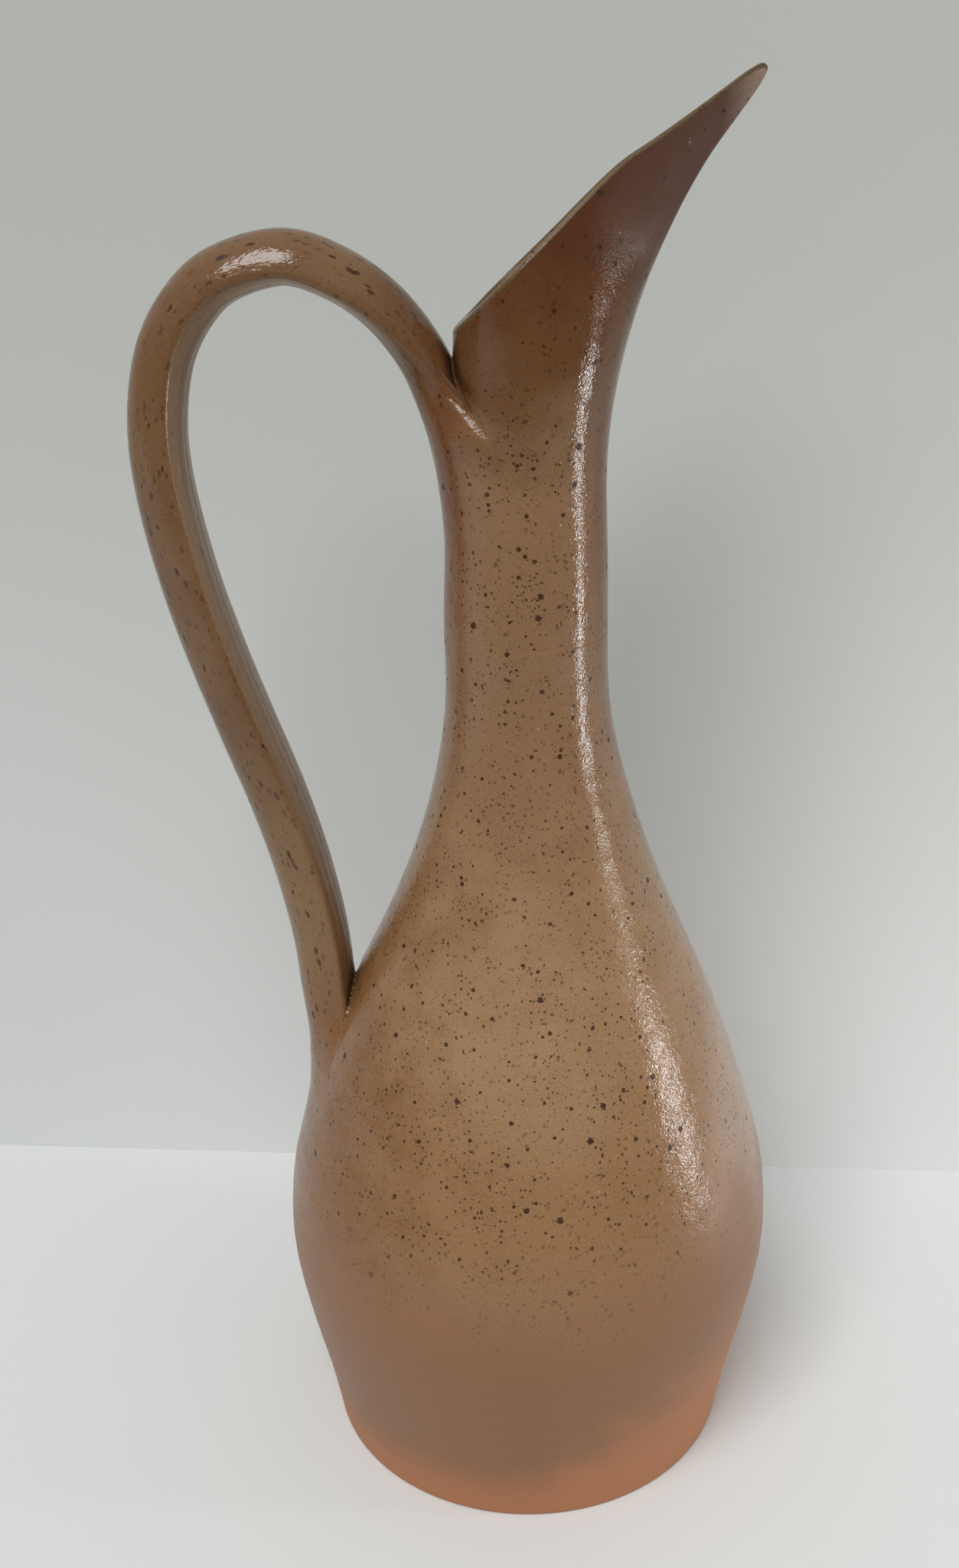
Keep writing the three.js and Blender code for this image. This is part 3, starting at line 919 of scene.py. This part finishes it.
class Graph:
    """The node tree of one material or of the room, filled by expressions."""

    def __init__(self, owner: bpy.types.Material | bpy.types.World) -> None:
        """Start an empty tree for a material or world."""
        owner.use_nodes = True
        self.owner = owner
        self.tree = owner.node_tree
        self.tree.nodes.clear()

    def node(self, kind: str, settings: dict[str, Any], sockets: dict[str | int, Any]) -> list[Value]:
        """Add a node.

        Args:
            kind: the node's type.
            settings: its properties, set first.
            sockets: values or links of its inputs, by name or number.

        Returns:
            Its outputs in order.
        """
        made = self.tree.nodes.new(kind)
        for name, value in settings.items():
            setattr(made, name, value)
        for key, value in sockets.items():
            socket = made.inputs[key]
            if isinstance(value, Value):
                self.tree.links.new(value.socket, socket)
            else:
                colour = isinstance(value, tuple) and socket.type == "RGBA"
                socket.default_value = (*value, 1.0) if colour else value
        return [Value(self, output) for output in made.outputs]

    def math(self, operation: str, first: Number, second: Number) -> Value:
        """One Math node on two numbers."""
        return self.node("ShaderNodeMath", {"operation": operation}, {0: first, 1: second})[0]

    def mix(self, share: Number, first: Number, second: Number) -> Value:
        """Colour a share of the way from the first to the second."""
        return self.node("ShaderNodeMix", {"data_type": "RGBA"}, {0: share, 6: first, 7: second})[2]

    def coats(self, colour: Number, *coats: tuple[Value, Number]) -> Value:
        """Colour under coats that are laid on in turn, each a share and its own colour."""
        for share, coat in coats:
            colour = self.mix(share, colour, coat)
        return colour

    def place(self) -> Value:
        """Place on the object, in metres."""
        return self.node("ShaderNodeTexCoord", {}, {})[3]

    def noise(self, place: Value, size: float, detail: float = 2.0) -> Value:
        """Soft noise whose lumps are about so many millimetres across."""
        sockets = {"Vector": place, "Scale": 1 / (size * METRE), "Detail": detail}
        return self.node("ShaderNodeTexNoise", {}, sockets)[0]

    def split(self, vector: Value) -> list[Value]:
        """The three parts of a vector."""
        return self.node("ShaderNodeSeparateXYZ", {}, {0: vector})

    def specks(self, place: Value, ruffle: Value, spacing: float, share: float, radius: float) -> Value:
        """Ragged specks scattered through space.

        Args:
            place: where the specks are spread.
            ruffle: uneven value about nought that frays their edges.
            spacing: usual distance between two places for a speck, in millimetres.
            share: share of those places that hold one.
            radius: greatest radius of a speck, in millimetres.

        Returns:
            1 in the middle of each speck and 0 between them.
        """
        sockets = {"Vector": place, "Scale": 1 / (spacing * METRE)}
        distance, random = self.node("ShaderNodeTexVoronoi", {}, sockets)[:2]
        chance, size, _ = self.split(random)
        edge = (0.25 + 0.75 * size * size) * (radius / spacing)
        return (distance + ruffle * edge).ramp(edge, edge * 0.65) * (chance > 1 - share)

    def finish(self, sockets: dict[str, Any], height: Value) -> bpy.types.Material:
        """Close the tree with a surface shader of these sockets and a relief in metres."""
        bump = self.node("ShaderNodeBump", {}, {"Strength": 1.0, "Distance": 1.0, "Height": height})[0]
        return self.close(self.node("ShaderNodeBsdfPrincipled", {}, {**sockets, "Normal": bump})[0])

    def close(self, surface: Value) -> bpy.types.Material:
        """Lead a shader to the material's output and return the material."""
        self.node("ShaderNodeOutputMaterial", {}, {"Surface": surface})
        return self.owner


@dataclass(frozen=True)
class SaltGlaze:
    """Salt glaze over iron-speckled stoneware: tan below, rusty and dark towards the beak."""

    name: str = "salt_glaze"
    tan: Colour = tint(160, 127, 94)
    olive_tan: Colour = tint(142, 109, 79)
    warm: Colour = tint(144, 104, 66)
    umber: Colour = tint(108, 72, 42)
    rust: Colour = tint(112, 62, 30)
    dark: Colour = tint(84, 43, 19)
    blush_and_sheen: Colour = tint(150, 94, 48)
    low: Colour = tint(140, 99, 68)
    mauve: Colour = tint(142, 99, 70)
    clay: Colour = tint(180, 120, 82)
    olive: Colour = tint(98, 80, 55)
    inner_olive_lit: Colour = tint(158, 132, 94)
    shade: Colour = tint(124, 82, 44)
    painted_tip_reflection: Colour = tint(180, 154, 134)
    calm: Colour = tint(146, 114, 84)
    iron: Colour = tint(60, 30, 4)
    brown: Colour = tint(74, 45, 26)
    # Colour of the painted glints.
    pale: Colour = tint(206, 182, 150)
    pooled_glaze_and_shade: Colour = tint(44, 27, 18)
    pulled: Colour = tint(122, 92, 64)
    pulled_worn: Colour = tint(114, 83, 55)
    pulled_low: Colour = tint(134, 103, 70)
    fine_spacing: float = 1.2
    fine_share: float = 0.75
    fine_depth: float = 0.9
    middle_share: float = 0.65
    large_share: float = 0.45
    handle: bool = False

    def _wall_colour(self, g: Graph, place: Value, broad: Value, patch: Value) -> Value:
        """Colour of body and neck: by height, darker and redder at the sides of the neck.

        Args:
            g: the tree to fill.
            place: place on the jug in metres.
            broad: noise of a hand's breadth.
            patch: noise of a thumb's breadth.

        Returns:
            The colour of the glaze before its specks.
        """
        x, y, z = g.split(place)
        wander = (patch - 0.5) * 0.05
        front = (0 - y) * g.math("INVERSE_SQRT", x * x + y * y, 0.0)
        aside = (front + wander * 6).ramp(0.85, 0.45)
        low_edge, high_edge = z + wander, z + wander * 0.6
        return g.coats(
            self.tan,
            (broad.ramp(0.38, 0.62) * 0.3, self.warm),
            (patch.ramp(0.45, 0.7) * 0.2, self.warm),
            ((z + wander * 0.5).ramp(0.152, 0.1) * (0.4 + x.ramp(0.0, 0.04) * 0.4), self.warm),
            ((x - wander).ramp(-0.01, -0.058) * 0.75, self.shade),
            # Partly glaze tone, partly painted sheen: the right edge is darker and redder, standing in for
            # the warm sheen there.
            (x.ramp(0.044, 0.07) * 0.85, self.blush_and_sheen),
            (low_edge.ramp(0.16, 0.228), self.olive_tan),
            (aside * low_edge.ramp(0.21, 0.31) * 0.9, self.rust),
            (high_edge.ramp(0.298, 0.332), self.umber),
            (high_edge.ramp(0.33, 0.37), self.dark),
            # Painted reflection: the beak's tip is paled greyish, as if it mirrored the wall.
            (x.ramp(0.046, 0.058) * 0.7, self.painted_tip_reflection),
        )

    def material(self) -> bpy.types.Material:
        """Build the glaze on the piece's own place, its marks and the flow of its specks.

        Returns:
            The material.
        """
        g = Graph(bpy.data.materials.new(self.name))
        place = g.place()
        flow, marks = (
            g.node("ShaderNodeAttribute", {"attribute_name": name}, {})[1] for name in (FLOW, MARKS)
        )
        x, _, z = g.split(place)
        crevice, lip, calm = g.split(marks)
        broad = g.noise(place, 55.0)
        patch = g.noise(place, 14.0, 3.0)
        ruffle = g.noise(flow, 0.6, 1.0) - 0.5
        wander = (patch - 0.5) * 0.05
        crowd = patch.ramp(0.3, 0.7)

        smooth_zone = (z + (broad - 0.5) * 0.03 + wander * 0.6).ramp(0.112, 0.062)
        bare_edge = 0.006 + (x - wander).ramp(-0.01, 0.062) * 0.042
        bare = (z + wander * 0.12).ramp(bare_edge + 0.02, bare_edge * 0.35)
        colour = self._wall_colour(g, place, broad, patch)
        if self.handle:
            pulled = g.coats(
                self.pulled,
                (broad.ramp(0.4, 0.6), self.pulled_worn),
                ((z + wander * 0.4).ramp(0.24, 0.175), self.pulled_low),
                (calm * 0.9, self.calm),
            )
            colour = g.mix(x.ramp(-0.024, -0.042) * (z + wander * 0.3).ramp(0.13, 0.172), colour, pulled)
        else:
            mauve = smooth_zone * x.ramp(0.04, 0.066)
            colour = g.coats(colour, (smooth_zone, self.low), (mauve, self.mauve), (bare * 0.85, self.clay))

        rim = (lip + ruffle * 0.5).ramp(0.25, 0.6)
        speckled = (1 - smooth_zone * 0.94) * (1 - calm * 0.7)
        grain = g.noise(flow, 0.4, 1.0).ramp(0.4, 0.7) * (0.16 + 0.18 * crowd)
        fine = g.specks(flow, ruffle, self.fine_spacing, self.fine_share, self.fine_spacing * 0.5)
        middle = g.specks(flow, ruffle, 2.4, self.middle_share, 0.78)
        large = g.specks(flow, ruffle, 4.4, self.large_share, 1.2) * speckled
        # Painted glints: sparse pale dots that stand in for tiny sparkles of light on the glaze.
        light = g.specks(flow, ruffle, 2.8, 0.12, 0.4)
        colour = g.coats(
            colour,
            # Olive on the lip and rim; inside the bore a lighter olive that paints light near the rim.
            (rim, g.mix(lip.ramp(1.0, 1.9), self.olive, self.inner_olive_lit)),
            # Painted shade: the open crevices of the handle joints are darkened, partly for pooled glaze and
            # partly for the shade inside them.
            (crevice.ramp(0.2, 1.0) * 0.85, self.pooled_glaze_and_shade),
            (grain * speckled, self.brown),
            (light * speckled * 0.5, self.pale),
            (fine * (0.45 + 0.55 * crowd) * speckled * self.fine_depth, self.brown),
            (middle * speckled * 0.9, self.iron),
            (large, self.iron),
        )

        dull_beak = z.ramp(0.346, 0.37) * x.ramp(0.0, 0.03) * 0.5
        satin = smooth_zone * 0.28 + calm * 0.12 + rim * 0.15 + large * 0.4 + dull_beak
        gloss = 0.12 - z.ramp(0.2, 0.25) * 0.04 + patch * 0.05 + satin
        roughness = g.node("ShaderNodeMix", {"data_type": "FLOAT"}, {0: bare, 2: gloss, 3: 0.6})[0]
        peel = g.noise(flow, 0.6, 1.0) * 0.00009 + g.noise(flow, 1.3, 1.0) * z.ramp(0.2, 0.16) * 0.0001
        peel = peel + g.noise(place, 5.0, 1.0) * 0.00025
        relief = peel * (1 - smooth_zone * 0.8) - large * 0.00005
        surface = {"Base Color": colour, "Roughness": roughness, "Specular IOR Level": 0.38}
        return g.finish(surface, relief)


@dataclass(frozen=True)
class FiredSlip:
    """Dark glassy slip in the joints; where the beads show in the open notches, their dark browns also paint
    the shade there.
    """

    name: str = "fired_slip"
    brown: Colour = tint(66, 42, 28)
    amber: Colour = tint(104, 70, 46)

    def material(self) -> bpy.types.Material:
        """Build the slip as two browns that run into each other, with a fine relief."""
        g = Graph(bpy.data.materials.new(self.name))
        patch = g.noise(g.place(), 3.0)
        colour = g.mix(patch.ramp(0.4, 0.65), self.brown, self.amber)
        return g.finish({"Base Color": colour, "Roughness": 0.45 + patch * 0.1}, patch * 0.0001)


@dataclass(frozen=True)
class Studio:
    """Floor, backdrop, lamps and camera."""

    camera_height: float = 394.1
    camera_back: float = 445.1
    camera_pitch: float = 22.32
    focal_pixels: float = 2200.0
    frame_width: int = 1253
    frame_height: int = 2048
    axis_pixel: float = 690.2
    sensor: float = 36.0
    wall_back: float = 120.0
    wall_turn: float = -2.74
    floor_tint: Colour = tint(220, 222, 222)
    floor_front: Colour = tint(95, 94, 91)
    # The wall's colours paint its shading: light near the floor, darker high up and darker towards the left.
    wall_low: Colour = tint(222, 225, 224)
    wall_high: Colour = tint(188, 191, 187)
    wall_left: Colour = tint(150, 152, 149)
    room_half_width: float = 2.4
    room_above: float = 0.51
    room_level: float = 0.18

    def camera(self) -> None:
        """Put the camera where the photograph was taken and make it the scene's."""
        data = bpy.data.cameras.new("camera")
        data.sensor_width = self.sensor
        data.lens = self.focal_pixels * self.sensor / self.frame_height
        data.shift_x = (self.frame_width / 2 - self.axis_pixel) / self.frame_height
        data.clip_start = 0.01
        camera = put_in_scene("camera", data)
        camera.location = (0, -self.camera_back * METRE, self.camera_height * METRE)
        camera.rotation_euler = (math.radians(90 - self.camera_pitch), 0, 0)
        bpy.context.scene.camera = camera

    def _sheet(self, name: str, corners: list[Place], finish: bpy.types.Material) -> None:
        """One flat four-cornered sheet of the set."""
        mesh = bpy.data.meshes.new(name)
        mesh.from_pydata(corners, [], [(0, 1, 2, 3)])
        mesh.materials.append(finish)
        put_in_scene(name, mesh)

    def _paper(
        self, name: str, shades: tuple[Colour, ...], axis: int, reach: tuple[float, float], clear: bool,
    ) -> bpy.types.Material:
        """Matt paper whose colour changes with height and towards one side.

        Args:
            name: name of the material.
            shades: colour near the floor, colour above the jug's beak and colour towards the side.
            axis: 0 for a side along x, 1 for one along y.
            reach: places along that axis where the side's colour begins and is full, in metres.
            clear: True where the camera looks through its back, so that it never hides the jug.

        Returns:
            The material.
        """
        g = Graph(bpy.data.materials.new(name))
        along = g.split(g.place())
        low, high, far = shades
        colour = g.mix(along[axis].ramp(*reach), g.mix(along[2].ramp(0.0, 0.42), low, high), far)
        paper = g.node("ShaderNodeBsdfDiffuse", {}, {"Color": colour})[0]
        if clear:
            behind = g.node("ShaderNodeNewGeometry", {}, {})[6] * g.node("ShaderNodeLightPath", {}, {})[0]
            see_through = g.node("ShaderNodeBsdfTransparent", {}, {})[0]
            paper = g.node("ShaderNodeMixShader", {}, {0: behind, 1: paper, 2: see_through})[0]
        return g.close(paper)

    def backdrop(self) -> None:
        """Lay the floor and stand the wall a hand's breadth behind the jug."""
        wide = self.room_half_width
        slope = math.tan(math.radians(self.wall_turn))
        left, right = ((x, self.wall_back * METRE + x * slope) for x in (-wide, wide))
        floor = [(-wide, -wide, 0), (wide, -wide, 0), (wide, wide, 0), (-wide, wide, 0)]
        wall = [(*right, 0.0), (*right, wide), (*left, wide), (*left, 0.0)]
        pale = (self.floor_tint, self.floor_tint, self.floor_front)
        self._sheet("floor", floor, self._paper("floor_paper", pale, 1, (-0.3, -0.8), False))
        # Painted shade on the wall: its paper darkens towards the top and towards the left, standing in for
        # the fall of light.
        grey = (self.wall_low, self.wall_high, self.wall_left)
        self._sheet("wall", wall, self._paper("wall_paper", grey, 0, (0.15, -2.0), True))

    def _lamp(self, name: str, place: Place, aim: Place, size: tuple[float, float], watts: float) -> None:
        """Hang one area lamp.

        Args:
            name: name of the lamp.
            place: where it hangs, in metres.
            aim: the point that it faces.
            size: its width and height, in metres.
            watts: its power.
        """
        data = bpy.data.lights.new(name, "AREA")
        data.shape = "RECTANGLE"
        data.size, data.size_y = size
        data.energy = watts
        lamp = put_in_scene(name, data)
        lamp.location = place
        lamp.rotation_euler = (Vector(aim) - Vector(place)).to_track_quat("-Z", "Y").to_euler()

    def _room(self) -> bpy.types.World:
        """Room light that is brighter from above than from the level: a smooth step of the height."""
        world = bpy.data.worlds.new("room")
        g = Graph(world)
        way = g.node("ShaderNodeTexCoord", {}, {})[0]
        above = g.split(way)[2].ramp(-0.1, 0.8)
        strength = self.room_level + above * (self.room_above - self.room_level)
        light = g.node("ShaderNodeBackground", {}, {"Color": (1.0, 0.985, 0.96), "Strength": strength})[0]
        g.node("ShaderNodeOutputWorld", {}, {"Surface": light})
        return world

    def light(self) -> None:
        """Pale room light from above, a soft ceiling lamp and a window of two panes on the right."""
        bpy.context.scene.world = self._room()
        self._lamp("ceiling", (-0.5, -1.2, 1.9), (0, 0, 0.2), (1.0, 1.0), 32.0)
        self._lamp("window", (0.6, -0.11, 0.105), (0, 0, 0.105), (0.034, 0.18), 0.75)
        self._lamp("upper_pane", (0.6, -0.13, 0.27), (0, 0, 0.3), (0.022, 0.06), 0.09)

    def set_up(self) -> None:
        """Make camera, backdrop and lights, and show colours as they are written."""
        self.camera()
        self.backdrop()
        self.light()
        bpy.context.scene.view_settings.view_transform = "Standard"


def build_jug() -> None:
    """Make every piece of the jug in the order in which a potter would."""
    jug = JugForm()
    strap = StrapForm(jug)
    glaze = SaltGlaze().material()
    handle_glaze = SaltGlaze(
        name="salt_glaze_handle", handle=True, fine_spacing=1.6, fine_share=0.95, fine_depth=0.8,
        middle_share=0.75,
    ).material()
    slip = FiredSlip().material()
    beads = JointSlip(jug, strap)
    made = [
        (TurnedBody(jug, strap).build(), glaze, Slot.GLAZE, "body"),
        (BeakedNeck(jug, strap).build(), glaze, Slot.GLAZE, "neck"),
        (StrapHandle(jug, strap).build(), handle_glaze, Slot.GLAZE, "handle"),
        (beads.neck_ring(), slip, Slot.SLIP, "neck_joint_slip"),
        (beads.handle_bead("handle_top_slip", True), slip, Slot.SLIP, "handle_top_slip"),
        (beads.handle_bead("handle_tail_slip", False), slip, Slot.SLIP, "handle_tail_slip"),
    ]
    for piece, finish, slot, node in made:
        piece.name = f"{node}_surface"
        settle_in_frame(piece, finish, slot, node)
        LOG.info("%s: %d faces", piece.name, len(piece.data.polygons))


def main() -> None:
    """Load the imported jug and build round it."""
    logging.basicConfig(level=logging.INFO, format="%(message)s")
    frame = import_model()
    LOG.info("the frame holds %d solids", len(frame["nodes"]))
    Studio().set_up()
    build_jug()


if __name__ == "__main__":
    main()
